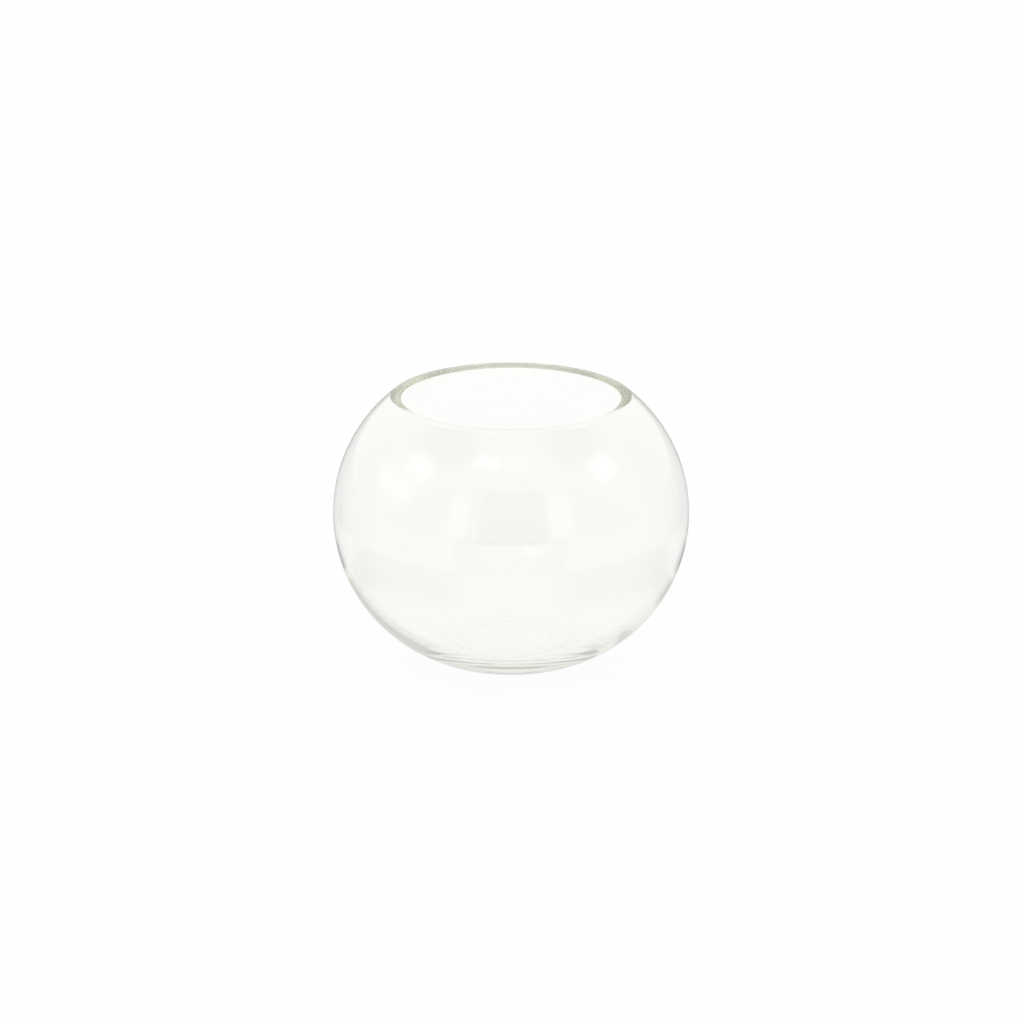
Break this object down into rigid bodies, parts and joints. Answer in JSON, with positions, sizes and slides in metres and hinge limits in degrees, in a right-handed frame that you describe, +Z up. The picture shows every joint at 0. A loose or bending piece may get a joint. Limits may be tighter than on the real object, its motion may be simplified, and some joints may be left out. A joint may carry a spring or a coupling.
{
  "type": "rose bowl vase",
  "caption": "Round blown clear-glass flower bowl with a wide belly, an incurved shoulder, an open cut lip and a flattened foot.",
  "frame": {"origin": "centre of the ring on the underside that the bowl stands on", "axes": "+Z up along the bowl's axis, through the middle of the mouth; the bowl is round, so X and Y are arbitrary"},
  "size_m": [0.152, 0.152, 0.116],
  "materials": {
    "clear_glass": "polished"
  },
  "bodies": {
    "root": {"glass_bowl": "clear_glass"}
  },
  "joints": []
}
